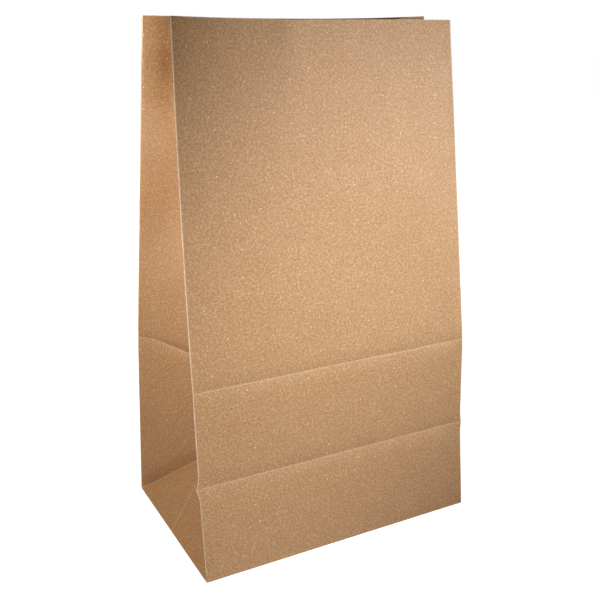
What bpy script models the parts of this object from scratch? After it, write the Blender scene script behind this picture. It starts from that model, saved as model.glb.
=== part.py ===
"""A brown kraft paper lunch bag, standing open on its flat block bottom.

The bag is one sheet: a tube with a glued back seam and two side gussets, folded at its lower end
into a flat rectangular bottom. Units are metres, +Z is up, and the origin is the middle of the
bottom, on the surface that the bag stands on. The front panel faces -Y and the bag's width is
along X. The surface below is the outer face of the paper, and Solidify gives it its thickness
inwards. A height "up the paper" is measured along the sheet from the bottom folds.
"""

import math

import bmesh
import bpy
from mathutils import Vector

# The sheet
PAPER = 0.00012
PANEL_WIDTH = 0.152
BOTTOM_DEPTH = 0.0943
PANEL_LENGTH = 0.256

# How far each panel stands in from its own bottom fold, at the creases and at the mouth
FRONT_LEAN_LOWER_CREASE = 0.0070
FRONT_LEAN_UPPER_CREASE = 0.0106
FRONT_LEAN_MOUTH_LEFT = 0.0270
FRONT_LEAN_MOUTH_RIGHT = 0.0400
BACK_LEAN_UPPER_CREASE = 0.0066
BACK_LEAN_MOUTH = 0.0325

# The mouth's long edges dish inwards between their corners, the front one nearer its left corner
FRONT_DISH = 0.0063
FRONT_DISH_SKEW = 0.37
BACK_DISH = 0.0063

# Pressed creases: a shallow valley along each, and the small ears that the lower one leaves
CREASE_DEPTH = 0.0006
CREASE_REACH = 0.0070
LEFT_EAR = 0.0016
RIGHT_EAR = 0.0008
EAR_REACH = 0.0060
EAR_SHARPNESS = 12

# Slack in the paper: the gussets' halves swell a little between their folds, and how fast the
# centre fold leaves the tight apex at its lower end
GUSSET_SWELL = 0.0012
APEX_SHARPNESS = 6

# Glued laps, each sunk half a paper thickness into the wall that it is fused to
SEAM_WIDTH = 0.012
SEAM_OFFSET = 0.020
FLAP_LAP = 0.016
LAP_SUNK = PAPER / 2
FOLD_ROUND = 0.0004

# Rows and columns of the surface. A column that lies nearer to the seam's edge than this share
# of a column's width gives way to it.
PANEL_COLUMNS = 20
GUSSET_COLUMNS = 6
UPPER_ROWS = 18
SEAM_SPARE = 0.4

KRAFT_COLOUR = (0.48, 0.29, 0.16, 1.0)
KRAFT_ROUGHNESS = 0.85

HALF_WIDTH = PANEL_WIDTH / 2
HALF_DEPTH = BOTTOM_DEPTH / 2
LOWER_CREASE = BOTTOM_DEPTH / 2
UPPER_CREASE = BOTTOM_DEPTH
BASE_HEIGHT = 2 * PAPER

# Points closer than a hair count as one
HAIR = 1e-6
WELD = 1e-7


def mix(low, high, share):
    """The value or point that lies this share of the way from low to high."""
    return low + (high - low) * share


def rise(length, lean):
    """Height gained by a straight run of paper of this length that leans by this much."""
    return math.sqrt(length * length - lean * lean)


def valley(up, crease):
    """Depth of the valley pressed along one crease, at this height up the paper."""
    return CREASE_DEPTH * max(0.0, 1.0 - abs(up - crease) / CREASE_REACH)


def ear(up):
    """Share of the ear's full size at this height up the paper."""
    return max(0.0, 1.0 - abs(up - LOWER_CREASE) / EAR_REACH)


def narrowed(dish):
    """How much an edge of the panel's width shortens when it dishes by this much."""
    return 8 / 3 * dish * dish / PANEL_WIDTH


def mouth_share(up):
    """0 up to the upper crease, then rising evenly to 1 at the mouth."""
    return max(0.0, (up - UPPER_CREASE) / (PANEL_LENGTH - UPPER_CREASE))


def front_lean(across, up):
    """How far the flat front panel stands in at this place; across is 0 left, 1 right."""
    mouth_lean = mix(FRONT_LEAN_MOUTH_LEFT, FRONT_LEAN_MOUTH_RIGHT, across)
    if up <= LOWER_CREASE:
        return FRONT_LEAN_LOWER_CREASE * up / LOWER_CREASE
    if up <= UPPER_CREASE:
        share = (up - LOWER_CREASE) / (UPPER_CREASE - LOWER_CREASE)
        return mix(FRONT_LEAN_LOWER_CREASE, FRONT_LEAN_UPPER_CREASE, share)
    return mix(FRONT_LEAN_UPPER_CREASE, mouth_lean, mouth_share(up))


def back_lean(up):
    """How far the flat back panel stands in at this height up the paper."""
    if up <= UPPER_CREASE:
        return BACK_LEAN_UPPER_CREASE * up / UPPER_CREASE
    return mix(BACK_LEAN_UPPER_CREASE, BACK_LEAN_MOUTH, mouth_share(up))


def front_height(up, mouth_lean):
    """Height above the base of this place on the front panel."""
    lower = rise(LOWER_CREASE, FRONT_LEAN_LOWER_CREASE)
    if up <= LOWER_CREASE:
        return lower * up / LOWER_CREASE
    step = FRONT_LEAN_UPPER_CREASE - FRONT_LEAN_LOWER_CREASE
    middle = rise(UPPER_CREASE - LOWER_CREASE, step)
    if up <= UPPER_CREASE:
        return lower + middle * (up - LOWER_CREASE) / (UPPER_CREASE - LOWER_CREASE)
    upper = rise(PANEL_LENGTH - UPPER_CREASE, mouth_lean - FRONT_LEAN_UPPER_CREASE)
    return lower + middle + upper * mouth_share(up)


def back_height(up, mouth_lean):
    """Height above the base of this place on the back panel."""
    lower = rise(UPPER_CREASE, BACK_LEAN_UPPER_CREASE)
    if up <= UPPER_CREASE:
        return lower * up / UPPER_CREASE
    upper = rise(PANEL_LENGTH - UPPER_CREASE, mouth_lean - BACK_LEAN_UPPER_CREASE)
    return lower + upper * mouth_share(up)


def front_point(across, up):
    """A point of the front panel's outer face."""
    share = mouth_share(up)
    bow = 4 * across * (1 - across) * (1 + 2 * FRONT_DISH_SKEW * (1 - 2 * across))
    dish = FRONT_DISH * bow
    mouth_lean = mix(FRONT_LEAN_MOUTH_LEFT, FRONT_LEAN_MOUTH_RIGHT, across) + dish
    width = PANEL_WIDTH - narrowed(FRONT_DISH) * share * share
    ears = RIGHT_EAR * across**EAR_SHARPNESS - LEFT_EAR * (1 - across) ** EAR_SHARPNESS
    pressed = valley(up, LOWER_CREASE) + valley(up, UPPER_CREASE)
    x = (across - 0.5) * width + ears * ear(up)
    y = -HALF_DEPTH + front_lean(across, up) + dish * share + pressed
    return Vector((x, y, BASE_HEIGHT + front_height(up, mouth_lean)))


def back_point(across, up):
    """A point of the back panel's outer face."""
    share = mouth_share(up)
    dish = BACK_DISH * 4 * across * (1 - across)
    width = PANEL_WIDTH - narrowed(BACK_DISH) * share * share
    x = (across - 0.5) * width
    y = HALF_DEPTH - back_lean(up) - dish * share - valley(up, UPPER_CREASE)
    return Vector((x, y, BASE_HEIGHT + back_height(up, BACK_LEAN_MOUTH + dish)))


def apex_point(side):
    """Where a gusset's centre fold meets the folds from the two bottom corners.

    The apex keeps its distance on the paper to the front bottom corner and to the front edge at
    the lower crease. Side is -1 on the left and 1 on the right.
    """
    crease_y = -HALF_DEPTH + FRONT_LEAN_LOWER_CREASE
    crease_z = rise(LOWER_CREASE, FRONT_LEAN_LOWER_CREASE)
    height = (crease_z**2 + crease_y**2) / (2 * crease_z)
    inward = math.sqrt(HALF_DEPTH**2 - height**2)
    return Vector((side * (HALF_WIDTH - inward), 0.0, BASE_HEIGHT + height))


def gusset_point(side, up):
    """A point of a gusset's centre fold, half the bottom's depth from both panels' edges.

    The valleys and ears pressed into those edges do not reach it.
    """
    across = 0 if side < 0 else 1
    front_y = -HALF_DEPTH + front_lean(across, up)
    back_y = HALF_DEPTH - back_lean(up)
    inward = math.sqrt(HALF_DEPTH**2 - (back_y - front_y) ** 2 / 4)
    width = PANEL_WIDTH - narrowed(FRONT_DISH) * mouth_share(up) ** 2
    apex = apex_point(side)
    front_mouth = front_point(across, PANEL_LENGTH)
    back_mouth = back_point(across, PANEL_LENGTH)
    share = (up - LOWER_CREASE) / (PANEL_LENGTH - LOWER_CREASE)
    height = mix(apex.z, (front_mouth.z + back_mouth.z) / 2, share)
    point = Vector((side * (width / 2 - inward), (front_y + back_y) / 2, height))
    apex_pull = (1 - share) ** APEX_SHARPNESS
    return point.lerp(Vector((apex.x, apex.y, height)), apex_pull)


def levels():
    """The heights up the paper at which the surface has a row of points."""
    rows = [0.0]
    for crease in (LOWER_CREASE, UPPER_CREASE):
        rows += [crease - CREASE_REACH, crease - EAR_REACH / 2, crease, crease + EAR_REACH / 2]
        rows.append(crease + CREASE_REACH)
    start = UPPER_CREASE + CREASE_REACH
    for index in range(1, UPPER_ROWS + 1):
        rows.append(mix(start, PANEL_LENGTH, index / UPPER_ROWS))
    return rows


def columns(count):
    """Even shares from 0 to 1."""
    return [index / count for index in range(count + 1)]


def back_columns():
    """Even shares across the back panel, and one at each edge of the glued seam."""
    seam = [0.5 + (SEAM_OFFSET + end * SEAM_WIDTH / 2) / PANEL_WIDTH for end in (-1, 1)]
    spare = SEAM_SPARE / PANEL_COLUMNS
    kept = [share for share in columns(PANEL_COLUMNS) if min(abs(share - s) for s in seam) > spare]
    return sorted(kept + seam)


class Sheet:
    """Collects the faces of the folded surface, with one vertex for each place."""

    def __init__(self):
        self.mesh = bmesh.new()
        self.found = {}

    def vertex(self, point):
        key = tuple(round(value / WELD) for value in point)
        if key not in self.found:
            self.found[key] = self.mesh.verts.new(point)
        return self.found[key]

    def face(self, points):
        corners = []
        for point in points:
            corner = self.vertex(point)
            if corner not in corners:
                corners.append(corner)
        if len(corners) > 2:
            self.mesh.faces.new(corners)

    def grid(self, rows):
        """Quads between rows of points of equal length."""
        for low, high in zip(rows, rows[1:]):
            for index in range(len(low) - 1):
                self.face((low[index], low[index + 1], high[index + 1], high[index]))

    def fan(self, tip, points):
        """Triangles from one tip to each step along a row of points."""
        for first, second in zip(points, points[1:]):
            self.face((tip, first, second))


def run(start, end, count):
    """Points in even steps on the straight line from start to end."""
    return [start.lerp(end, share) for share in columns(count)]


def gusset_row(edge, fold, up):
    """Points from an edge fold to the centre fold, slack and with the upper crease pressed in."""
    share_up = (up - LOWER_CREASE) / (PANEL_LENGTH - LOWER_CREASE)
    swell = GUSSET_SWELL * math.sin(math.pi * share_up)
    outwards = Vector((edge.x - fold.x, 0.0, 0.0)).normalized()
    points = []
    for share in columns(GUSSET_COLUMNS):
        pressed = valley(up, UPPER_CREASE) * share * (1 - share) * 4
        size = swell * math.sin(math.pi * share) - pressed
        points.append(edge.lerp(fold, share) + outwards * size)
    return points


def add_gusset(sheet, side):
    """One side gusset, with the folds that carry it down into the flat bottom."""
    across = 0 if side < 0 else 1
    apex = apex_point(side)
    front_corner = front_point(across, 0.0)
    back_corner = back_point(across, 0.0)
    rows = [up for up in levels() if up > LOWER_CREASE - HAIR]
    below = [up for up in levels() if up < LOWER_CREASE + HAIR]
    front_rows = []
    back_rows = []
    for up in rows:
        fold = apex if up == rows[0] else gusset_point(side, up)
        front_rows.append(gusset_row(front_point(across, up), fold, up))
        back_rows.append(gusset_row(back_point(across, up), fold, up))
    sheet.grid(front_rows)
    sheet.grid(back_rows)
    sheet.fan(apex, [front_point(across, up) for up in below][:-1])
    sheet.fan(apex, [back_point(across, up) for up in below][:-1])
    # The strip under each half's lowest row takes up that row's own points.
    sheet.fan(front_point(across, below[-2]), front_rows[0])
    sheet.fan(back_point(across, below[-2]), back_rows[0])
    sheet.fan(apex, run(front_corner, back_corner, 2))


def folded_surface():
    """The bag's outer face as one open surface, with its opening at the mouth."""
    sheet = Sheet()
    rows = levels()
    sheet.grid([[front_point(across, up) for across in columns(PANEL_COLUMNS)] for up in rows])
    sheet.grid([[back_point(across, up) for across in back_columns()] for up in rows])
    for side in (-1, 1):
        add_gusset(sheet, side)
    front_edge = [front_point(across, 0.0) for across in columns(PANEL_COLUMNS)]
    back_edge = [back_point(across, 0.0) for across in back_columns()]
    left_middle = front_edge[0].lerp(back_edge[0], 0.5)
    right_middle = front_edge[-1].lerp(back_edge[-1], 0.5)
    outline = front_edge + [right_middle] + back_edge[::-1] + [left_middle]
    sheet.face(outline)
    bmesh.ops.recalc_face_normals(sheet.mesh, faces=sheet.mesh.faces)
    lowest = min(sheet.mesh.faces, key=lambda face: face.calc_center_median().z)
    if lowest.normal.z > 0:
        bmesh.ops.reverse_faces(sheet.mesh, faces=sheet.mesh.faces)
    return sheet.mesh


def new_object(name, mesh, collection):
    """A mesh object made from a bmesh, linked to a collection."""
    data = bpy.data.meshes.new(name)
    mesh.to_mesh(data)
    mesh.free()
    item = bpy.data.objects.new(name, data)
    collection.objects.link(item)
    return item


def slab(name, outline, low, high, collection):
    """A flat plate with this outline, from one height to another."""
    mesh = bmesh.new()
    base = mesh.faces.new([mesh.verts.new((x, y, low)) for x, y in outline])
    raised = bmesh.ops.extrude_face_region(mesh, geom=[base])
    corners = [item for item in raised["geom"] if isinstance(item, bmesh.types.BMVert)]
    bmesh.ops.translate(mesh, verts=corners, vec=(0.0, 0.0, high - low))
    bmesh.ops.recalc_face_normals(mesh, faces=mesh.faces)
    return new_object(name, mesh, collection)


def bottom_flap(name, facing, reach, low, collection):
    """A bottom flap: full width at its fold, with both ends folded in at 45 degrees."""
    fold = HALF_DEPTH - FOLD_ROUND
    end = HALF_WIDTH - FOLD_ROUND
    outline = [
        (-end, facing * fold),
        (end, facing * fold),
        (end - reach, facing * (fold - reach)),
        (-end + reach, facing * (fold - reach)),
    ]
    return slab(name, outline, low, BASE_HEIGHT + LAP_SUNK, collection)


def seam_share():
    """Where the middle of the seam lies across the back panel, from 0 to 1."""
    return 0.5 + SEAM_OFFSET / PANEL_WIDTH


def seam_reach():
    """Half the seam's width as a share of the panel's, with a hair to spare."""
    return SEAM_WIDTH / 2 / PANEL_WIDTH + HAIR


def seam_strip(collection):
    """The glued lap that runs up the back panel, one paper thickness proud of it."""
    mesh = bmesh.new()
    shares = [share for share in back_columns() if abs(share - seam_share()) < seam_reach()]
    rows = [up for up in levels() if up > FOLD_ROUND]
    rows = [FOLD_ROUND] + rows[:-1] + [PANEL_LENGTH - FOLD_ROUND]
    grid = []
    for up in rows:
        row = []
        for share in shares:
            point = back_point(share, up)
            row.append(mesh.verts.new(point - Vector((0.0, LAP_SUNK, 0.0))))
        grid.append(row)
    for low, high in zip(grid, grid[1:]):
        for index in range(len(low) - 1):
            mesh.faces.new((low[index + 1], low[index], high[index], high[index + 1]))
    strip = new_object("glued_seam_strip", mesh, collection)
    shell = strip.modifiers.new("Lap", "SOLIDIFY")
    shell.thickness = PAPER + LAP_SUNK
    shell.offset = 1.0
    return strip


def joined(base, tool):
    """Fuses a glued lap into the bag with an exact union, and keeps the tool out of renders."""
    union = base.modifiers.new(tool.name, "BOOLEAN")
    union.operation = "UNION"
    union.solver = "EXACT"
    union.object = tool
    tool.hide_render = True
    tool.display_type = "WIRE"


def kraft_paper():
    """Unbleached kraft paper."""
    material = bpy.data.materials.new("kraft_paper")
    material.use_nodes = True
    shader = material.node_tree.nodes["Principled BSDF"]
    shader.inputs["Base Color"].default_value = KRAFT_COLOUR
    shader.inputs["Roughness"].default_value = KRAFT_ROUGHNESS
    shader.inputs["Metallic"].default_value = 0.0
    return material


def main():
    for item in list(bpy.data.objects):
        bpy.data.objects.remove(item)
    parts = bpy.data.collections.new("paper_lunch_bag")
    laps = bpy.data.collections.new("glued_laps")
    for collection in (parts, laps):
        bpy.context.scene.collection.children.link(collection)
    bag = new_object("paper_bag", folded_surface(), parts)
    bag.data.materials.append(kraft_paper())
    wall = bag.modifiers.new("Paper", "SOLIDIFY")
    wall.thickness = PAPER
    wall.offset = -1.0
    wall.use_even_offset = True
    joined(bag, bottom_flap("front_bottom_flap", -1, HALF_DEPTH + FLAP_LAP / 2, PAPER, laps))
    joined(bag, bottom_flap("back_bottom_flap", 1, HALF_DEPTH + FLAP_LAP / 2, 0.0, laps))
    joined(bag, seam_strip(laps))


main()
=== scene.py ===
"""Looks of a brown kraft paper lunch bag that stands open on its block bottom.

The bag is drawn as one folded sheet. A place on the sheet has two lengths in metres: along, the
way round the tube from the front left fold, and up, the way up the paper from the bottom folds.
Below the bottom folds up is negative, and the sheet lies under the bag as its bottom.
"""

import logging
import math
from dataclasses import dataclass, field
from enum import Enum

import bpy
import numpy as np
from mathutils import Matrix, Vector


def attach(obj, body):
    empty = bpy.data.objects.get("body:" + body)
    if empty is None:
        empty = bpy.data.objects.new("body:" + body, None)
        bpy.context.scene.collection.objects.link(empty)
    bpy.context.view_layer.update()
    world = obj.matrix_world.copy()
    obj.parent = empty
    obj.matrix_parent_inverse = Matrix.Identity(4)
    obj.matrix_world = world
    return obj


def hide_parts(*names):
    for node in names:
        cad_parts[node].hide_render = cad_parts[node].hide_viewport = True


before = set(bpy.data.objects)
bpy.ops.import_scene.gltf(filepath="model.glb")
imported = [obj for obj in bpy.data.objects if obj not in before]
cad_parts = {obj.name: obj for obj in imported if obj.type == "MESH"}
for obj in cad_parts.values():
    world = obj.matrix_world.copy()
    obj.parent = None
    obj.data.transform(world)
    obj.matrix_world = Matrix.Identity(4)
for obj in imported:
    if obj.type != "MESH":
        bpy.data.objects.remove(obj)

LOG = logging.getLogger("lunch_bag")
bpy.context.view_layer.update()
Array = np.ndarray
Values = float | Array
Tree = bpy.types.NodeTree
Socket = bpy.types.NodeSocket
Faces = list[tuple[int, ...]]
MM = 0.001
HAIR = 0.01 * MM  # two places this close are the same
TINY = 1e-12  # keeps a length that is divided by above nothing
FAR = 1.0  # metres, further than any fold from a place that shows no wear and painted highlight
ROUNDING = ((-1.0, 1.0), (-0.5, 2.0), (0.0, 2.0), (0.5, 2.0), (1.0, 1.0))  # place and weight


def linear(hex_colour: str) -> tuple[float, float, float, float]:
    """Turns an sRGB hex colour such as "#C49A6C" to linear light.

    Args:
        hex_colour: the colour as "#RRGGBB".

    Returns:
        Red, green, blue and an alpha of 1.
    """
    values = []
    for start in (1, 3, 5):
        share = int(hex_colour[start:start + 2], 16) / 255
        values.append(share / 12.92 if share <= 0.04045 else ((share + 0.055) / 1.055) ** 2.4)
    return (values[0], values[1], values[2], 1.0)


def mix(low: Values, high: Values, share: Values) -> Values:
    """Returns what lies this share of the way from low to high."""
    return low + (high - low) * share


def add_node(tree: Tree, kind: str, settings: dict, links: dict) -> bpy.types.Node:
    """Adds a shader node with its settings and the links into it.

    Args:
        tree: the material's or world's node tree.
        kind: the node's type name, such as "ShaderNodeTexNoise".
        settings: property names, or input names or numbers, with their values.
        links: input names or numbers, with the output socket that feeds each.

    Returns:
        The new node.
    """
    node = tree.nodes.new(kind)
    for name, value in settings.items():
        if isinstance(name, str) and hasattr(node, name):
            setattr(node, name, value)
        else:
            node.inputs[name].default_value = value
    for name, socket in links.items():
        tree.links.new(socket, node.inputs[name])
    return node


def camera_sees(tree: Tree, seen: bpy.types.Node, other: bpy.types.Node) -> Socket:
    """Adds a switch between two shaders.

    Args:
        tree: the material's or world's node tree.
        seen: the shader that the camera sees.
        other: the shader that all other light meets.

    Returns:
        The switch's output.
    """
    path = add_node(tree, "ShaderNodeLightPath", {}, {})
    return add_node(tree, "ShaderNodeMixShader", {}, {
        0: path.outputs["Is Camera Ray"], 1: other.outputs[0], 2: seen.outputs[0]}).outputs[0]


def heading(turn: float, tilt: float) -> Vector:
    """The direction turned right from straight back, then up, by these angles in radians."""
    return Vector((math.sin(turn) * math.cos(tilt), math.cos(turn) * math.cos(tilt),
                   math.sin(tilt)))


class Face(Enum):
    """The two faces of the sheet, with the name of the material that each gets."""

    OUTSIDE = "kraft_paper"
    INSIDE = "kraft_paper_inside"


class Fold(Enum):
    """Kinds of fold with wear and painted highlight, and the place of each in the distances."""

    UPRIGHT = 0
    ACROSS = 1
    GUSSET = 2


@dataclass
class SheetSizes:
    """The lengths that the sheet is cut, folded and opened to, in metres.

    A lean is how far a panel has come inwards at a crease or at the mouth, a dish is how far the
    middle of the mouth's edge lies further in, and an ear is the small point that the lower crease
    leaves on a front fold. The skew, the apex's sharpness and the droop are plain numbers.
    """

    paper: float = 0.12 * MM
    width: float = 152.0 * MM
    depth: float = 94.3 * MM
    length: float = 256.0 * MM
    front_lean_low: float = 7.0 * MM
    front_lean_high: float = 10.6 * MM
    front_lean_left: float = 27.0 * MM
    front_lean_right: float = 40.0 * MM
    back_lean_high: float = 6.6 * MM
    back_lean_mouth: float = 32.5 * MM
    front_dish: float = 6.3 * MM
    front_dish_skew: float = 0.37
    back_dish: float = 6.3 * MM
    left_ear: float = 1.6 * MM
    right_ear: float = 0.8 * MM
    ear_reach: float = 5.0 * MM
    left_bow: float = 0.85 * MM
    left_bow_reach: float = 30.0 * MM
    fold_reach: float = 0.45 * MM
    apex_sharpness: float = 6.0
    gusset_droop: float = 0.8
    lap: float = 16.0 * MM
    lap_settle: float = 2.0 * MM
    seam_width: float = 12.0 * MM
    seam_offset: float = 20.0 * MM

    @property
    def half_width(self) -> float:
        """Half the bag's width."""
        return self.width / 2

    @property
    def half_depth(self) -> float:
        """Half the bottom's depth, which is also the height of the lower crease."""
        return self.depth / 2

    @property
    def wrap(self) -> float:
        """The whole way round the tube."""
        return 2 * (self.width + self.depth)

    @property
    def low(self) -> float:
        """Height of the lower crease up the paper."""
        return self.depth / 2

    @property
    def high(self) -> float:
        """Height of the upper crease up the paper."""
        return self.depth


@dataclass
class Dent:
    """A soft dent or swelling in slack paper, in the sheet's own lengths."""

    along: float
    up: float
    wide: float
    tall: float
    size: float

    def height(self, along: Array, up: Array) -> Array:
        """Returns how far the dent moves each place outwards.

        Args:
            along: places round the tube.
            up: places up the paper.

        Returns:
            The outward move at each place, in metres.
        """
        across = (along - self.along) / self.wide
        rise = (up - self.up) / self.tall
        return self.size * np.exp(-(across**2) - rise**2)


@dataclass
class FoldedSheet:
    """Where each place on the sheet lies once the bag is folded, opened and stood up."""

    sizes: SheetSizes

    def rise(self, length: float, lean: Values) -> Values:
        """Returns the height gained by paper of this length that leans by this much."""
        return np.sqrt(length * length - lean * lean)

    def chord(self, dish: float, share: Array) -> Array:
        """Width left between a panel's folds where its paper dishes in, as a shallow arc."""
        return self.sizes.width - 8 / 3 * dish**2 / self.sizes.width * share**2

    def front(self, across: Array, up: Array) -> Array:
        """Places on the front panel.

        Args:
            across: 0 at the left fold to 1 at the right fold.
            up: height up the paper.

        Returns:
            One row of x, y and z for each place.
        """
        s = self.sizes
        share = np.maximum(0.0, (up - s.high) / (s.length - s.high))
        bow = 4 * across * (1 - across) * (1 + 2 * s.front_dish_skew * (1 - 2 * across))
        corner = mix(s.front_lean_left, s.front_lean_right, across)
        dished = s.front_dish * bow
        low_rise = self.rise(s.low, s.front_lean_low)
        mid_rise = self.rise(s.high - s.low, s.front_lean_high - s.front_lean_low)
        top_rise = self.rise(s.length - s.high, corner + dished - s.front_lean_high)
        low_share = np.clip(up / s.low, 0, 1)
        mid_share = np.clip((up - s.low) / (s.high - s.low), 0, 1)
        lean = s.front_lean_low * low_share + (s.front_lean_high - s.front_lean_low) * mid_share
        lean = lean + (corner - s.front_lean_high) * share
        return np.stack([
            (across - 0.5) * self.chord(s.front_dish, share),
            -s.half_depth + lean + dished * share,
            low_rise * low_share + mid_rise * mid_share + top_rise * share,
        ], axis=-1)

    def back(self, across: Array, up: Array) -> Array:
        """Places on the back panel.

        Args:
            across: 0 at the left fold to 1 at the right fold, as seen from the front.
            up: height up the paper.

        Returns:
            One row of x, y and z for each place.
        """
        s = self.sizes
        share = np.maximum(0.0, (up - s.high) / (s.length - s.high))
        dished = s.back_dish * 4 * across * (1 - across)
        high_share = np.clip(up / s.high, 0, 1)
        lean = mix(s.back_lean_high * high_share, s.back_lean_mouth, share)
        top_rise = self.rise(s.length - s.high, s.back_lean_mouth + dished - s.back_lean_high)
        return np.stack([
            (across - 0.5) * self.chord(s.back_dish, share),
            s.half_depth - lean - dished * share,
            self.rise(s.high, s.back_lean_high) * high_share + top_rise * share,
        ], axis=-1)

    def apex(self, side: int) -> Array:
        """The point above the bottom where a gusset's centre fold ends.

        Args:
            side: -1 for the left gusset, 1 for the right.

        Returns:
            Its x, y and z.
        """
        s = self.sizes
        y = -s.half_depth + s.front_lean_low
        z = float(self.rise(s.low, s.front_lean_low))
        height = (z * z + y * y) / (2 * z)
        inward = math.sqrt(s.half_depth**2 - height**2)
        return np.array([side * (s.half_width - inward), 0.0, height])

    def tucked(self, side: int, up: Array) -> Array:
        """Where the panels tuck a gusset's centre fold, as rows of x and y.

        Args:
            side: -1 for the left gusset, 1 for the right.
            up: heights up the paper.

        Returns:
            One row of x and y for each height.
        """
        across = np.full_like(up, (side + 1) / 2)
        front, back = self.front(across, up), self.back(across, up)
        gap = back[..., 1] - front[..., 1]
        inward = np.sqrt(np.maximum(self.sizes.half_depth**2 - gap**2 / 4, 0))
        return np.stack([side * (np.abs(front[..., 0]) - inward),
                         (front[..., 1] + back[..., 1]) / 2], axis=-1)

    def centre_fold(self, side: int, up: Array) -> Array:
        """Places on a gusset's centre fold, at and above its apex.

        The fold keeps the paper's own length, so its end lies lower than the mouth's corners.

        Args:
            side: -1 for the left gusset, 1 for the right.
            up: heights up the paper, from the lower crease to the mouth.

        Returns:
            One row of x, y and z for each height.
        """
        s = self.sizes
        apex = self.apex(side)
        run = np.linalg.norm(self.tucked(side, np.array([s.length]))[0] - apex[:2])
        share = np.clip((up - s.low) / (s.length - s.low), 0, None)
        pull = np.maximum(1 - share, 0)[..., None] ** s.apex_sharpness
        flat = mix(self.tucked(side, up), apex[:2], pull)
        height = apex[2] + self.rise(s.length - s.low, run) * share
        return np.concatenate([flat, height[..., None]], axis=-1)

    def gusset(self, side: int, inset: Array, is_front: Array, up: Array) -> Array:
        """Places on a side gusset.

        Args:
            side: -1 for the left gusset, 1 for the right.
            inset: distance on the paper from the nearer of the panel folds.
            is_front: True on the half next to the front panel.
            up: height up the paper, 0 or more.

        Returns:
            One row of x, y and z for each place.
        """
        s = self.sizes
        across = np.full_like(up, (side + 1) / 2)
        edge = np.where(is_front[..., None], self.front(across, up), self.back(across, up))
        share = inset / s.half_depth
        centre = self.centre_fold(side, np.maximum(up, s.low))
        folded = mix(edge, centre, share[..., None])
        droop = 1 + s.gusset_droop * np.clip((up - s.low) / (s.length - s.low), 0, 1)
        folded[..., 2] = mix(edge[..., 2], centre[..., 2], share**droop)
        corner_y = np.where(is_front, -s.half_depth, s.half_depth)
        corner = np.stack([side * s.half_width + 0 * up, corner_y, 0 * up], axis=-1)
        middle = np.array([side * s.half_width, 0.0, 0.0])
        apex = self.apex(side)
        crease = np.where(is_front[..., None], self.front(across, 0 * up + s.low),
                          self.back(across, 0 * up + s.low))
        a = np.clip(inset / s.low, 0, 1)[..., None]
        b = np.clip(up / s.low, 0, 1)[..., None]
        wall = corner + (crease - corner) * (b - a) + (apex - corner) * a
        bottom = corner + (middle - corner) * (a - b) + (apex - corner) * b
        below = np.where(b >= a, wall, bottom)
        return np.where((up < s.low)[..., None], below, folded)

    def bottom(self, base: Array, up: Array) -> Array:
        """Draws places at the bottom folds in under the bag, as rings that shrink evenly.

        Args:
            base: x, y and z of the places at the bottom folds.
            up: heights up the paper, negative under the bag.

        Returns:
            One row of x, y and z for each place.
        """
        s = self.sizes
        under = np.clip(-up, 0, s.half_depth)
        return np.stack([
            base[..., 0] * (s.half_width - under) / s.half_width,
            base[..., 1] * (s.half_depth - under) / s.half_depth,
            0 * up,
        ], axis=-1)

    def sharp(self, along: Array, up: Array) -> Array:
        """Places on the sheet with every fold a sharp one.

        Args:
            along: places round the tube, which may pass its ends.
            up: heights up the paper, negative under the bag.

        Returns:
            One row of x, y and z for each place.
        """
        s = self.sizes
        turn = np.mod(along, s.wrap)
        above = np.maximum(up, 0)
        right_end = s.width + s.depth
        back_end = right_end + s.width
        right_in = turn - s.width
        left_in = s.wrap - turn
        place = self.front(np.clip(turn / s.width, 0, 1), above)
        for side, inset in ((1, right_in), (-1, left_in)):
            near = np.minimum(inset, s.depth - inset)
            there = (inset >= 0) & (inset <= s.depth)
            rows = self.gusset(side, np.clip(near, 0, s.half_depth), inset <= s.half_depth, above)
            place = np.where(there[..., None], rows, place)
        on_back = (turn > right_end) & (turn < back_end)
        across = np.clip((back_end - turn) / s.width, 0, 1)
        place = np.where(on_back[..., None], self.back(across, above), place)
        return np.where((up < 0)[..., None], self.bottom(place, up), place)

    def rounded(self, along: Array, up: Array) -> Array:
        """Places on the sheet with each fold rounded, by averaging over the paper near it.

        Args:
            along: places round the tube, which may pass its ends.
            up: heights up the paper, negative under the bag.

        Returns:
            One row of x, y and z for each place.
        """
        reach = self.sizes.fold_reach
        total = np.zeros(along.shape + (3,))
        weight = sum(w for _, w in ROUNDING)
        for x, x_weight in ROUNDING:
            for y, y_weight in ROUNDING:
                total += x_weight * y_weight * self.sharp(along + x * reach, up + y * reach)
        return total / weight**2


def graded(length: float, fine: tuple[float, ...], step: float) -> list[float]:
    """Distances from 0 to length, close together at both ends.

    Args:
        length: the distance to cover.
        fine: distances from an end of the points next to it.
        step: the even spacing elsewhere.

    Returns:
        The distances in order, with both ends.
    """
    near = [0.0, *fine]
    far = [length - d for d in reversed(near)]
    start, stop = near[-1], far[0]
    count = max(1, round((stop - start) / step))
    return near[:-1] + [mix(start, stop, i / count) for i in range(count + 1)] + far[1:]


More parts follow.
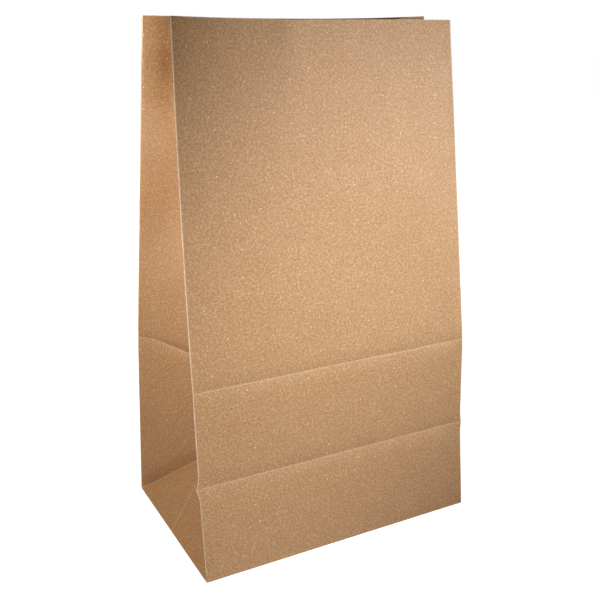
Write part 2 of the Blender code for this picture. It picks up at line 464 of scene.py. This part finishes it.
@dataclass
class Creases:
    """Creases pressed into the sheet while the bag lay flat, and how they show.

    Depth and reach are those of the valleys across the panels, which are gusset_share times as
    deep in the gussets and fold_share as deep right at an upright fold. The corner values are
    those of the folds from the bottom corners, and corner_even is the share of their depth that is
    left near the apex. The pale line of an upright fold, partly wear and partly painted highlight,
    narrows to worn_and_highlight_share at the mouth.
    """

    sizes: SheetSizes
    depth: float = 0.80 * MM
    reach: float = 7.0 * MM
    gusset_share: float = 3.4
    fold_share: float = 0.15
    corner_depth: float = 3.4 * MM
    corner_reach: float = 8.5 * MM
    corner_reach_below: float = 3.5 * MM
    corner_even: float = 0.6
    corner_edge_fade: float = 7.0 * MM
    corner_apex_fade: float = 8.0 * MM
    worn_and_highlight_share: float = 0.7
    worn_and_highlight_less_below: float = 0.1 * MM

    def cross_depth(self, along: Array, up: Array) -> Array:
        """Depth of the valleys across the panels, at the lower and the upper crease.

        Args:
            along: places round the tube.
            up: heights up the paper.

        Returns:
            The depth at each place, in metres.
        """
        s = self.sizes
        # the lower crease stops at the gussets' centre folds, and the upper one goes round
        in_front = np.minimum(along, s.wrap - along) < s.half_depth
        in_front = in_front | (along < s.width + s.half_depth)
        depth = np.zeros_like(up)
        for crease, where in ((s.low, in_front), (s.high, np.ones_like(in_front))):
            near = np.clip(1 - np.abs(up - crease) / self.reach, 0, 1)
            depth += np.where(where, self.depth * near**2, 0.0)
        inward = np.clip(self.inset(along) / self.reach, 0, 1)
        from_fold = np.minimum(np.abs(self.inset(along)), np.abs(along))
        off_fold = np.clip(from_fold / self.reach, self.fold_share, 1)
        return depth * mix(1.0, self.gusset_share, inward) * off_fold

    def corner_fall(self, along: Array, up: Array) -> Array:
        """Depth by which a gusset curls in along the folds from its bottom corners.

        Args:
            along: places round the tube.
            up: heights up the paper.

        Returns:
            The depth at each place, deepest at the bottom corners.
        """
        inset = self.inset(along)
        above = (up - inset) / math.sqrt(2)
        reach = np.where(above > -HAIR, self.corner_reach, self.corner_reach_below)
        near = np.clip(1 - np.abs(above) / reach, 0, 1) ** 2
        end = 1 - np.clip(inset / self.sizes.half_depth, 0, 1)
        near *= np.clip(inset / self.corner_edge_fade, 0, 1)
        near *= np.clip((self.sizes.half_depth - inset) / self.corner_apex_fade, 0, 1)
        depth = self.corner_depth * near * mix(self.corner_even, 1.0, end**2)
        return np.where((inset > 0) & (up > 0), depth, 0.0)

    def inset(self, along: Array) -> Array:
        """Distances into a gusset from its nearer panel fold.

        Args:
            along: places round the tube.

        Returns:
            The distance at each place, 0 or less on the panels.
        """
        s = self.sizes
        right = np.minimum(along - s.width, s.width + s.depth - along)
        left = np.minimum(along - (2 * s.width + s.depth), s.wrap - along)
        return np.maximum(right, left)

    def distances(self, along: Array, up: Array) -> Array:
        """Distances from places to the folds of wear and painted highlight, for the paper's shader.

        Args:
            along: places round the tube.
            up: heights up the paper.

        Returns:
            Distances to the nearest fold of each kind, in Fold's order, in millimetres.
        """
        s = self.sizes
        inset = self.inset(along)
        upright = np.minimum(np.abs(inset), np.abs(along))
        height = np.clip((up - s.low) / (s.length - s.low), 0, 1)
        upright = np.where(up >= s.low, upright * mix(1.0, self.worn_and_highlight_share, height),
                           upright + self.worn_and_highlight_less_below)
        across = np.min([np.abs(up - s.low), np.abs(up - s.high), np.abs(up),
                         s.length - up], axis=0)
        # no line of wear and painted highlight runs across a gusset at the lower crease
        across = np.where((inset > 0) & (np.abs(up - s.low) < s.low / 2), FAR, across)
        corner = np.abs(up - inset) / math.sqrt(2)
        centre = s.half_depth - inset
        gusset = np.where((inset >= 0) & (up >= 0), np.minimum(corner, centre), FAR)
        return np.stack([upright, across, gusset], axis=-1) / MM


@dataclass
class Slack:
    """Faint waves and a few named dents of paper that isn't held tight."""

    sizes: SheetSizes
    waves: int = 14
    size: float = 0.05 * MM
    shortest: float = 22 * MM
    longest: float = 75 * MM
    seed: int = 11
    fold_fade: float = 4 * MM
    bottom_fade: float = 10 * MM

    def dents(self) -> list[Dent]:
        """The soft dents and swellings that the photograph shows.

        Returns:
            The front panel's dip at the mouth and its swelling, the space that opens inside the
            front left fold, and the left gusset's streak, swelling and hollow, from the top down.
        """
        end = self.sizes.wrap
        return [
            Dent(along=61 * MM, up=258 * MM, wide=9 * MM, tall=42 * MM, size=-1.0 * MM),
            Dent(along=118 * MM, up=190 * MM, wide=45 * MM, tall=60 * MM, size=1.5 * MM),
            Dent(along=end - 9 * MM, up=262 * MM, wide=8 * MM, tall=80 * MM, size=0.8 * MM),
            Dent(along=end - 79 * MM, up=245 * MM, wide=5.5 * MM, tall=26 * MM, size=-3.8 * MM),
            Dent(along=end - 78 * MM, up=200 * MM, wide=14 * MM, tall=11 * MM, size=1.2 * MM),
            Dent(along=end - 78 * MM, up=163 * MM, wide=11 * MM, tall=20 * MM, size=-2.6 * MM),
        ]

    def height(self, along: Array, up: Array) -> Array:
        """How far slack paper stands out at each place.

        Args:
            along: places round the tube.
            up: heights up the paper.

        Returns:
            The outward move, which fades out at the folds and the bottom.
        """
        s = self.sizes
        random = np.random.default_rng(self.seed)
        waves = np.zeros_like(up)
        for _ in range(self.waves):
            length = random.uniform(self.shortest, self.longest)
            turn, phase = random.uniform(0, 2 * math.pi, 2)
            way = along * math.cos(turn) + up * math.sin(turn)
            waves += np.sin(2 * math.pi * way / length + phase) * length / self.longest
        # the left gusset's front half is drawn tight, so its waves die out at the front fold
        calm = np.clip((s.wrap - along) / s.half_depth, 0, 1)
        total = self.size * waves * calm * np.clip(up / s.high, 0, 1)
        for dent in self.dents():
            total = total + dent.height(along, up)
        folds = (0, s.width, s.width + s.half_depth, s.width + s.depth, 2 * s.width + s.depth,
                 2 * s.width + 1.5 * s.depth, s.wrap)
        away = np.min([np.abs(along - fold) for fold in folds], axis=0)
        total = total * np.clip(away / self.fold_fade, 0, 1)
        return total * np.clip(up / self.bottom_fade, 0, 1)


@dataclass
class Bag:
    """The bag's one folded sheet, drawn fine enough for its folds, creases and slack.

    Lift is how high the bottom folds stay above the floor, because they are rounded. The fold gap
    is the room that an upright fold keeps inside it for the paper's own thickness.
    """

    sheet: FoldedSheet
    creases: Creases
    slack: Slack
    fold_steps: tuple[float, ...] = (0.16 * MM, 0.34 * MM, 0.6 * MM, 1.3 * MM)
    step: float = 2.4 * MM
    lift: float = 0.30 * MM
    fold_gap: float = 0.36 * MM
    fold_gap_reach: float = 0.8 * MM
    fold_gap_fade: float = 10.0 * MM
    normal_reach: float = 0.4 * MM

    def columns(self) -> list[float]:
        """Places round the tube at which the mesh has a column.

        Returns:
            The places in order, close together at each upright fold.
        """
        s = self.sheet.sizes
        panel = graded(s.width, self.fold_steps, self.step)
        half = graded(s.half_depth, self.fold_steps, self.step)
        found: list[float] = []
        start = 0.0
        for run in (panel, half, half, panel, half, half):
            found += [start + d for d in run[:-1]]
            start += run[-1]
        return found

    def rows(self) -> list[float]:
        """Heights up the paper at which the mesh has a row.

        Returns:
            The heights from the bottom's middle to the mouth, close together at each crease.
        """
        s = self.sheet.sizes
        half = graded(s.half_depth, self.fold_steps, self.step)
        upper = graded(s.length - s.high, self.fold_steps, self.step)
        found = [-d for d in reversed(half)]
        found += half[1:]
        found += [s.low + d for d in half[1:]]
        return found + [s.high + d for d in upper[1:]]

    def ears(self, along: Array, up: Array) -> Array:
        """How far the ears at the lower crease, and the left fold's bow, stand out sideways.

        Args:
            along: places round the tube.
            up: heights up the paper.

        Returns:
            One row of x, y and z for each place, where only x moves.
        """
        s = self.sheet.sizes
        tall = np.clip(1 - np.abs(up - s.low) / s.ear_reach, 0, 1)
        left = np.minimum(along, s.wrap - along)
        right = np.abs(along - s.width)
        move = np.zeros(along.shape + (3,))
        for away, size, side in ((left, s.left_ear, -1), (right, s.right_ear, 1)):
            move[..., 0] += side * size * tall * np.clip(1 - away / s.ear_reach, 0, 1)
        share = np.clip((up - s.low) / (s.length - s.low), 0, 1)
        near = np.clip(1 - left / s.left_bow_reach, 0, 1)
        move[..., 0] -= s.left_bow * np.sin(math.pi * share) * near
        return move

    def spread(self, along: Array, up: Array) -> Array:
        """How far a gusset's wall stands off its panel inside the folds that close tight.

        Args:
            along: places round the tube.
            up: heights up the paper.

        Returns:
            The outward move, which leaves room in each fold for the paper's own thickness.
        """
        s = self.sheet.sizes
        inset = self.creases.inset(along)
        share = np.clip((up - s.low) / (s.length - s.low), 0, 1)
        start = np.clip(inset / self.fold_gap_reach, 0, 1)
        stop = np.clip((s.half_depth - inset) / self.fold_gap_fade, 0, 1)
        return self.fold_gap * share * start * stop

    def levels(self, along: Array, up: Array) -> Array:
        """Height of the outer face under the bag: back flap, front flap and ends in steps.

        Args:
            along: places round the tube.
            up: heights up the paper, negative under the bag.

        Returns:
            The height above the floor, which is the bag's lift at the bottom folds.
        """
        s = self.sheet.sizes
        on_back = (along >= s.width + s.depth) & (along <= 2 * s.width + s.depth)
        on_front = along <= s.width
        level = np.where(on_back, 0.0, np.where(on_front, 1.0, 2.0)) * s.paper
        under = np.clip(-up / s.lap_settle, 0, 1)
        return np.where(up < 0, mix(self.lift, level, under), self.lift)

    def places(self, along: Array, up: Array) -> Array:
        """Places on the finished outer face: folds rounded, creases pressed, slack let in.

        Args:
            along: places round the tube.
            up: heights up the paper, negative under the bag.

        Returns:
            One row of x, y and z for each place.
        """
        reach = self.normal_reach
        base = self.sheet.rounded(along, up)
        over = self.sheet.rounded(along + reach, up) - self.sheet.rounded(along - reach, up)
        rise = self.sheet.rounded(along, up + reach) - self.sheet.rounded(along, up - reach)
        normal = np.cross(over, rise)
        normal /= np.maximum(np.linalg.norm(normal, axis=-1, keepdims=True), TINY)
        turn = np.mod(along, self.sheet.sizes.wrap)
        height = self.slack.height(turn, up) - self.creases.cross_depth(turn, up)
        height = height - self.creases.corner_fall(turn, up) + self.spread(turn, up)
        base[..., 2] += self.levels(turn, up)
        return base + normal * height[..., None] + self.ears(turn, up)

    def piece(self) -> "PaperPiece":
        """Draws the bag.

        Returns:
            The bag as one piece of paper.
        """
        columns, rows = np.array(self.columns()), np.array(self.rows())
        along, up = np.meshgrid(columns, rows)
        faces: Faces = []
        for j in range(len(rows) - 1):
            for i in range(len(columns)):
                faces += self.cell(columns, rows, i, j)
        return PaperPiece("bag_paper", self.places(along, up), along, up, faces,
                          self.creases.distances(along, up), self.sheet.sizes)

    def cell(self, columns: Array, rows: Array, i: int, j: int) -> Faces:
        """One cell of the mesh, cut along a corner fold where one runs through it.

        Args:
            columns: places round the tube.
            rows: heights up the paper.
            i: the cell's column.
            j: the cell's row.

        Returns:
            One quad, or two triangles that share the fold.
        """
        s = self.sheet.sizes
        count = len(columns)
        low_left, low_right = j * count + i, j * count + (i + 1) % count
        high_left, high_right = low_left + count, low_right + count
        if -HAIR < rows[j] < s.low - HAIR:
            for start in (s.width, 2 * s.width + s.depth):
                inset = columns[i] - start
                if abs(inset - rows[j]) < HAIR:
                    return [(low_left, low_right, high_right), (low_left, high_right, high_left)]
                if abs(s.depth - inset - rows[j + 1]) < HAIR:
                    return [(low_left, low_right, high_left), (low_right, high_right, high_left)]
        return [(low_left, low_right, high_right, high_left)]


@dataclass
class SeamLap:
    """The glued seam up the back: the sheet's end, lapped over its start.

    Proud and sunk are heights above the panel in paper thicknesses, at the cut edge and at the
    edge where the lap comes down to the panel over the last part, slope, of its width.
    """

    bag: Bag
    columns: int = 7
    row_step: float = 2.4 * MM
    margin: float = 0.4 * MM
    proud: float = 1.1
    sunk: float = 0.02
    slope: float = 0.35

    def piece(self) -> "PaperPiece":
        """Draws the lap, with one cut edge and one that comes down to the panel.

        Returns:
            The lap as one piece of paper.
        """
        s = self.bag.sheet.sizes
        middle = s.width + s.depth + s.half_width - s.seam_offset
        start, stop = middle - s.seam_width / 2, middle + s.seam_width / 2
        rows = graded(s.length - 2 * self.margin, (), self.row_step)
        along, up = np.meshgrid(np.linspace(start, stop, self.columns), rows)
        up = up + self.margin
        lying = self.bag.places(along, up)
        share = (along - start) / s.seam_width
        height = np.clip(self.proud * (1 - share) / self.slope, self.sunk, self.proud)
        lying[..., 1] += s.paper * height
        count = self.columns
        first = [j * count + i for j in range(len(rows) - 1) for i in range(count - 1)]
        faces = [(n, n + 1, n + count + 1, n + count) for n in first]
        return PaperPiece("seam_lap", lying, along, up, faces,
                          self.bag.creases.distances(along, up), s)


@dataclass
class BottomLap:
    """The part of the back bottom flap that laps over the front one."""

    bag: Bag
    overlap: float = 0.5 * MM
    clear: float = 0.01 * MM

    def piece(self) -> "PaperPiece":
        """Draws the lap, with both ends cut at 45 degrees.

        Returns:
            The lap as one piece of paper.
        """
        s = self.bag.sheet.sizes
        reach = np.array([-self.overlap, s.lap / 2])
        half = s.half_width - s.half_depth - reach
        x = np.stack([-half, half], axis=-1)
        y = np.repeat(-reach[:, None], 2, axis=1)
        points = np.stack([x, y, np.full_like(x, self.clear)], axis=-1)
        far = s.half_depth + np.repeat(reach[:, None], 2, axis=1)
        middle = s.width + s.depth + s.half_width
        return PaperPiece("bottom_lap", points, middle - x, -far, [(0, 1, 3, 2)],
                          np.full(points.shape, FAR / MM), s, is_flat=True)


@dataclass
class PaperPiece:
    """One piece of paper, as a mesh whose points have a place on the sheet.

    Points holds each point's x, y and z, along and up its place on the sheet, and fold_mark its
    distances to the folds of wear and painted highlight, in millimetres.
    """

    name: str
    points: Array
    along: Array
    up: Array
    faces: Faces
    fold_mark: Array
    sizes: SheetSizes
    is_flat: bool = False
    widest_face: float = 200.0 * MM
    sharp_fold: float = 48.0

    def sheet_places(self, mesh: bpy.types.Mesh) -> Array:
        """Each face corner's place on the sheet, which the paper's patterns follow.

        The faces that close the tube run on past its end instead of back to its start.

        Args:
            mesh: this piece's mesh.

        Returns:
            One row of along and up for each corner.
        """
        corners = np.empty(len(mesh.loops), dtype=np.int32)
        mesh.loops.foreach_get("vertex_index", corners)
        places = np.stack([self.along.ravel(), self.up.ravel()], axis=-1)[corners]
        for face in mesh.polygons:
            part = places[face.loop_start:face.loop_start + face.loop_total]
            if np.ptp(part[:, 0]) > self.widest_face:
                part[:, 0] += np.where(part[:, 0] < self.widest_face, self.sizes.wrap, 0.0)
        return places

    def build(self, finish: "KraftPaper") -> bpy.types.Object:
        """Makes the piece, dresses both its faces and thickens it inwards.

        Args:
            finish: the paper's material.

        Returns:
            The piece, flat, or shaded smooth except at its sharp folds.
        """
        mesh = bpy.data.meshes.new(self.name)
        mesh.from_pydata(self.points.reshape(-1, 3).tolist(), [], self.faces)
        places = self.sheet_places(mesh).astype(np.float32)
        mesh.uv_layers.new(name="sheet").data.foreach_set("uv", places.ravel())
        fold_mark = mesh.attributes.new("folds", "FLOAT_VECTOR", "POINT")
        fold_mark.data.foreach_set("vector", self.fold_mark.astype(np.float32).ravel())
        for face in Face:
            mesh.materials.append(finish.material(face))
        item = bpy.data.objects.new(self.name, mesh)
        bpy.context.scene.collection.objects.link(item)
        if self.is_flat:
            mesh.shade_flat()
        else:
            mesh.shade_smooth()
            mesh.set_sharp_from_angle(angle=math.radians(self.sharp_fold))
        wall = item.modifiers.new("Paper", "SOLIDIFY")
        wall.thickness = self.sizes.paper
        wall.offset = -1.0  # the drawn face is the outer one
        wall.material_offset = 1
        return item


@dataclass(frozen=True)
class Mottle:
    """A mottle: its real size in metres, its finer layers, and the noise values it spreads."""

    size: float
    layers: float
    low: float
    high: float


@dataclass(frozen=True)
class Speck:
    """Specks of one colour, with their spacing and radius in metres."""

    colour: str
    apart: float
    radius: float


@dataclass(frozen=True)
class WornAndHighlightLine:
    """One kind of fold's wear and painted highlight: its reach, in millimetres, and its share."""

    fold: Fold
    reach: float
    strength: float


@dataclass(frozen=True)
class KraftPaper:
    """Unbleached kraft paper: long brown wood fibres, pressed and dried on a polished roll.

    To the eye it is a matt brown with a fine mottle of fibres, a few pale fibres and dark flecks
    of the trees' outer rind, and a faint sheen on the outside, where the dryer polished it. The
    inside is rougher, and its colour is painted darker, as painted shade. Folds are drawn pale:
    partly real rubbing, as the bent fibres stand up and fray, and partly painted highlight, which
    also runs along the mouth's cut edge. The fibres themselves are too fine to show in the render,
    so the finest mottle is that of their clumps.
    """

    # pulp between the clumps, a clump, a clump with more lignin, frayed fibre, and bark flecks;
    # the frayed fibre's pale also paints the folds' highlight, and bark the inside's painted shade
    dark: str = "#86592F"
    light: str = "#E2BC8F"
    red: str = "#C07E50"
    pale: str = "#FFF2DC"
    bark_and_painted_shade: str = "#5E3A22"
    roughness: float = 0.52
    inside_roughness: float = 0.9
    ior: float = 1.54
    clumps: Mottle = Mottle(1.0 * MM, 3.0, 0.29, 0.71)
    clouds: Mottle = Mottle(100 / 9 * MM, 3.0, 0.20, 0.80)
    red_clumps: Mottle = Mottle(10 / 7 * MM, 1.0, 0.40, 0.85)
    finer_share: float = 0.9
    cloud_share: float = 0.14
    specks: tuple[Speck, ...] = (Speck(bark_and_painted_shade, 20 * MM, 0.4 * MM), Speck(pale, 10 * MM, 0.36 * MM))
    speck_core: float = 0.4
    # wear and painted highlight: pale lines along folds, creases and the mouth's cut edge
    worn_and_highlight_lines: tuple[WornAndHighlightLine, ...] = (WornAndHighlightLine(Fold.UPRIGHT, 0.80, 1.00),
                                        WornAndHighlightLine(Fold.ACROSS, 0.55, 0.25),
                                        WornAndHighlightLine(Fold.GUSSET, 0.60, 0.30))
    worn_and_highlight_least: float = 0.65
    worn_and_highlight_most: float = 1.35
    # painted shade: how far the inside face's colour is painted towards the bark colour
    painted_inside_shade: float = 0.8
    # where the inside's painted shade starts and is full, in millimetres from an upright fold
    painted_shade_from: float = 0.5
    painted_shade_full: float = 1.5
    relief: float = 0.03 * MM
    relief_strength: float = 0.25
    made: dict[Face, bpy.types.Material] = field(default_factory=dict)

    def material(self, face: Face) -> bpy.types.Material:
        """The paper's material, made once for each face.

        Args:
            face: the face of the sheet.

        Returns:
            The material.
        """
        if face not in self.made:
            self.made[face] = self.build(face)
        return self.made[face]

    def noise(self, tree: Tree, at: Socket, mottle: Mottle) -> Socket:
        """A mottle's noise, spread to the range from 0 to 1.

        Args:
            tree: the material's nodes.
            at: the coordinates, in metres.
            mottle: the mottle to draw.

        Returns:
            The spread noise.
        """
        grain = add_node(tree, "ShaderNodeTexNoise", {
            "noise_dimensions": "2D", "Scale": 1 / mottle.size, "Detail": mottle.layers,
            "Roughness": self.finer_share}, {"Vector": at})
        return add_node(tree, "ShaderNodeMapRange", {
            "From Min": mottle.low, "From Max": mottle.high},
            {"Value": grain.outputs[0]}).outputs[0]

    def spots(self, tree: Tree, at: Socket, speck: Speck) -> Socket:
        """Round specks of chance strength, about one in each square of the sheet.

        Args:
            tree: the material's nodes.
            at: the coordinates, in metres.
            speck: the specks to draw.

        Returns:
            0 between the specks, up to 1 in the strongest.
        """
        edge = speck.radius / speck.apart
        cells = add_node(tree, "ShaderNodeTexVoronoi", {
            "voronoi_dimensions": "2D", "Scale": 1 / speck.apart}, {"Vector": at})
        spot = add_node(tree, "ShaderNodeMapRange", {
            "From Min": edge, "From Max": self.speck_core * edge},
            {"Value": cells.outputs["Distance"]})
        chance = add_node(tree, "ShaderNodeSeparateColor", {}, {0: cells.outputs["Color"]})
        return add_node(tree, "ShaderNodeMath", {"operation": "MULTIPLY"},
                        {0: spot.outputs[0], 1: chance.outputs[0]}).outputs[0]

    def blended(self, tree: Tree, base: Socket, colour: str, amount: Socket) -> Socket:
        """Lays a colour over another by this amount."""
        return add_node(tree, "ShaderNodeMix", {"data_type": "RGBA", 7: linear(colour)},
                        {0: amount, 6: base}).outputs[2]

    def distances(self, tree: Tree) -> bpy.types.Node:
        """A node with the distance in millimetres to each kind of fold, in Fold's order."""
        folds = add_node(tree, "ShaderNodeAttribute", {"attribute_name": "folds"}, {})
        return add_node(tree, "ShaderNodeSeparateXYZ", {}, {0: folds.outputs["Vector"]})

    def wear_and_highlight(self, tree: Tree, grain: Socket) -> Socket:
        """How far folds are drawn pale, as wear and painted highlight, in a broken line along each.

        Args:
            tree: the material's nodes.
            grain: noise that breaks the lines up.

        Returns:
            0 on flat paper, up to 1 on a fold.
        """
        parts = self.distances(tree)
        total = None
        for fold_mark in self.worn_and_highlight_lines:
            line = add_node(tree, "ShaderNodeMapRange", {
                "interpolation_type": "SMOOTHSTEP", "From Min": fold_mark.reach, "From Max": 0.0,
                "To Max": fold_mark.strength}, {"Value": parts.outputs[fold_mark.fold.value]}).outputs[0]
            if total is not None:
                line = add_node(tree, "ShaderNodeMath", {"operation": "MAXIMUM"},
                                {0: total, 1: line}).outputs[0]
            total = line
        broken = add_node(tree, "ShaderNodeMapRange", {
            "To Min": self.worn_and_highlight_least, "To Max": self.worn_and_highlight_most}, {"Value": grain})
        return add_node(tree, "ShaderNodeMath", {"operation": "MULTIPLY"},
                        {0: total, 1: broken.outputs[0]}).outputs[0]

    def shaded(self, tree: Tree) -> Socket:
        """How much painted shade darkens the inside face, which fades out at the upright folds.

        Args:
            tree: the material's nodes.

        Returns:
            0 at an upright fold, up to the full painted shade away from it.
        """
        return add_node(tree, "ShaderNodeMapRange", {
            "From Min": self.painted_shade_from, "From Max": self.painted_shade_full,
            "To Max": self.painted_inside_shade},
            {"Value": self.distances(tree).outputs[Fold.UPRIGHT.value]}).outputs[0]

    def build(self, face: Face) -> bpy.types.Material:
        """Makes the material's nodes.

        Args:
            face: the face of the sheet.

        Returns:
            The new material.
        """
        is_inside = face is Face.INSIDE
        made = bpy.data.materials.new(face.value)
        made.use_nodes = True
        tree = made.node_tree
        tree.nodes.clear()
        sheet = add_node(tree, "ShaderNodeUVMap", {"uv_map": "sheet"}, {}).outputs["UV"]
        clumps = self.noise(tree, sheet, self.clumps)
        clouds = self.noise(tree, sheet, self.clouds)
        reds = self.noise(tree, sheet, self.red_clumps)
        amount = add_node(tree, "ShaderNodeMix", {0: self.cloud_share},
                          {2: clumps, 3: clouds}).outputs[0]
        colour = add_node(tree, "ShaderNodeMix", {
            "data_type": "RGBA", 6: linear(self.dark), 7: linear(self.light)},
            {0: amount}).outputs[2]
        colour = self.blended(tree, colour, self.red, reds)
        for speck in self.specks:
            colour = self.blended(tree, colour, speck.colour, self.spots(tree, sheet, speck))
        if is_inside:
            # painted shade: the inside face is painted darker, towards the bark colour
            colour = self.blended(tree, colour, self.bark_and_painted_shade, self.shaded(tree))
        else:
            # wear and painted highlight: the pale colour is painted along the folds
            colour = self.blended(tree, colour, self.pale, self.wear_and_highlight(tree, reds))
        bump = add_node(tree, "ShaderNodeBump", {
            "Strength": self.relief_strength, "Distance": self.relief},
            {"Height": clumps}).outputs["Normal"]
        roughness = self.inside_roughness if is_inside else self.roughness
        shader = add_node(tree, "ShaderNodeBsdfPrincipled", {
            "Roughness": roughness, "IOR": self.ior}, {"Base Color": colour, "Normal": bump})
        add_node(tree, "ShaderNodeOutputMaterial", {}, {"Surface": shader.outputs[0]})
        return made


@dataclass
class PhotoCamera:
    """The camera at the photograph's place, in metres, and angle, in degrees.

    Turn is how far it looks round to the right of straight back, and lens and sensor are in
    millimetres.
    """

    place: tuple[float, float, float] = (-0.20564, -0.36732, 0.26504)
    turn: float = 28.964
    tilt: float = -19.537
    roll: float = 1.080
    lens: float = 52.25
    sensor: float = 36.0
    nearest: float = 0.01
    furthest: float = 50.0

    def build(self) -> None:
        """Makes the camera and gives it to the scene."""
        turn, tilt, roll = (math.radians(v) for v in (self.turn, self.tilt, self.roll))
        forward = heading(turn, tilt)
        level = Vector((math.cos(turn), -math.sin(turn), 0.0))
        upright = level.cross(forward)
        right = level * math.cos(roll) + upright * math.sin(roll)
        up = upright * math.cos(roll) - level * math.sin(roll)
        data = bpy.data.cameras.new("camera")
        data.lens = self.lens
        data.sensor_width = self.sensor
        data.clip_start, data.clip_end = self.nearest, self.furthest
        camera = bpy.data.objects.new("camera", data)
        axes = Matrix((right, up, -forward)).transposed().to_4x4()
        camera.matrix_world = Matrix.Translation(self.place) @ axes
        bpy.context.scene.collection.objects.link(camera)
        bpy.context.scene.camera = camera


@dataclass
class SoftBox:
    """A soft light: a lit square that faces a point on the bag.

    Azimuth is in degrees round to the right of the front, elevation in degrees up, distance and
    size in metres and power in watts. Spread is the beam's angle in degrees.
    """

    name: str
    azimuth: float
    elevation: float
    power: float
    distance: float = 0.9
    size: float = 0.20
    spread: float = 14.0
    aim: tuple[float, float, float] = (0.0, 0.0, 0.13)
    tint: str = "#FFFFFF"

    def build(self) -> None:
        """Makes the light and turns it to its aim."""
        data = bpy.data.lights.new(self.name, "AREA")
        data.shape = "RECTANGLE"
        data.size = data.size_y = self.size
        data.energy = self.power
        data.color = linear(self.tint)[:3]
        data.spread = math.radians(self.spread)
        away = heading(math.radians(self.azimuth), math.radians(self.elevation))
        away.y = -away.y
        lamp = bpy.data.objects.new(self.name, data)
        lamp.location = Vector(self.aim) + away * self.distance
        lamp.rotation_euler = (-away).to_track_quat("-Z", "Y").to_euler()
        bpy.context.scene.collection.objects.link(lamp)


@dataclass
class Studio:
    """A plain pale floor and plain soft light.

    The floor lies a hair below the bag. To the camera it is a glow that is all but white, plus the
    little that seen_grey returns of the light, so that the bag's shadow stays.
    """

    floor_half: float = 3.0
    floor_drop: float = 0.05 * MM
    floor_pale: str = "#E6E6E4"
    seen_grey: str = "#8C8C8C"
    seen_glow: float = 0.99
    white: str = "#FFFFFF"
    world_strength: float = 0.03
    boxes: tuple[SoftBox, ...] = (
        SoftBox("key", 60, 28, 0.163, aim=(-0.005, -0.03, 0.086), tint="#EFF7FA"),
        SoftBox("front", 24, 28, 0.078, aim=(0.05, -0.03, 0.19), tint="#EFF7FA"),
        SoftBox("low", -60, -5, 0.084, spread=15, aim=(-0.075, 0.01, 0.212), tint="#FFFAEA"),
        SoftBox("side", -85, 45, 13.9, distance=1.6, size=0.60, spread=180, tint="#FFF6E1"),
        SoftBox("rear", 165, 40, 5.0, distance=1.4, size=0.60, spread=180),
    )

    def floor(self) -> None:
        """Makes the floor, white to the camera but for a soft trace of the bag's shadow."""
        mesh = bpy.data.meshes.new("floor")
        h = self.floor_half
        mesh.from_pydata([(-h, -h, 0), (h, -h, 0), (h, h, 0), (-h, h, 0)], [], [(0, 1, 2, 3)])
        item = bpy.data.objects.new("floor", mesh)
        item.location.z = -self.floor_drop
        bpy.context.scene.collection.objects.link(item)
        made = bpy.data.materials.new("pale_floor")
        made.use_nodes = True
        tree = made.node_tree
        tree.nodes.clear()
        matt = add_node(tree, "ShaderNodeBsdfDiffuse", {"Color": linear(self.floor_pale)}, {})
        seen = add_node(tree, "ShaderNodeBsdfDiffuse", {"Color": linear(self.seen_grey)}, {})
        glow = add_node(tree, "ShaderNodeEmission", {"Strength": self.seen_glow}, {})
        both = add_node(tree, "ShaderNodeAddShader", {}, {0: seen.outputs[0], 1: glow.outputs[0]})
        add_node(tree, "ShaderNodeOutputMaterial", {}, {"Surface": camera_sees(tree, both, matt)})
        made.cycles.emission_sampling = "NONE"  # the glow lights nothing
        mesh.materials.append(made)

    def world(self) -> None:
        """Makes the even light of a white room, which the camera sees as white."""
        room = bpy.data.worlds.new("studio")
        bpy.context.scene.world = room
        room.use_nodes = True
        tree = room.node_tree
        tree.nodes.clear()
        white = linear(self.white)
        light = add_node(tree, "ShaderNodeBackground", {0: white, 1: self.world_strength}, {})
        seen = add_node(tree, "ShaderNodeBackground", {0: white, 1: 1.0}, {})
        add_node(tree, "ShaderNodeOutputWorld", {}, {"Surface": camera_sees(tree, seen, light)})

    def build(self) -> None:
        """Makes the floor, the lights and the world, and sets a plain view."""
        self.floor()
        for box in self.boxes:
            box.build()
        self.world()
        bpy.context.scene.view_settings.view_transform = "Standard"


def main() -> None:
    """Builds the bag, the studio and the camera, and reports each piece."""
    logging.basicConfig(level=logging.INFO, format="%(name)s: %(message)s")
    paper = KraftPaper()
    sizes = SheetSizes()
    bag = Bag(FoldedSheet(sizes), Creases(sizes), Slack(sizes))
    for part in (bag, SeamLap(bag), BottomLap(bag)):
        piece = part.piece().build(paper)
        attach(piece, "root")
        LOG.info("%s: %d faces", piece.name, len(piece.data.polygons))
    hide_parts("paper_bag")
    Studio().build()
    PhotoCamera().build()


if __name__ == "__main__":
    main()
